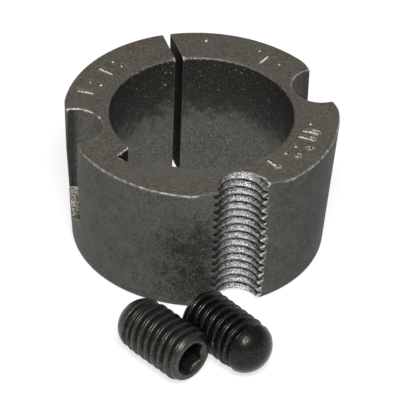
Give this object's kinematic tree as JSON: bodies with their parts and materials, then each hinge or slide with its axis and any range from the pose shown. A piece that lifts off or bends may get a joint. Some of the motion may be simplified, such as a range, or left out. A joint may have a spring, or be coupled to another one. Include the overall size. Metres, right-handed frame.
{
  "type": "taper bush",
  "caption": "Split taper bush with a keyed bore and half-holes in its outer wall, with its socket set screws lying beside it.",
  "frame": {"origin": "centre of the small-end face on the bore axis, the plane that the bush stands on", "axes": "+Z along the bore axis towards the large end; the threaded half-hole looks to -Y, the plain half-holes to -X and +X, and the saw slot is at +Y"},
  "size_m": [0.0462, 0.0658, 0.0254],
  "materials": {
    "bush_iron": "turned cast iron, phosphated and lightly oiled, grey-brown",
    "screw_steel": "black oxide, satin"
  },
  "bodies": {
    "root": {"taper_bush": "bush_iron", "set_screw_1": "screw_steel", "set_screw_2": "screw_steel"}
  },
  "joints": []
}
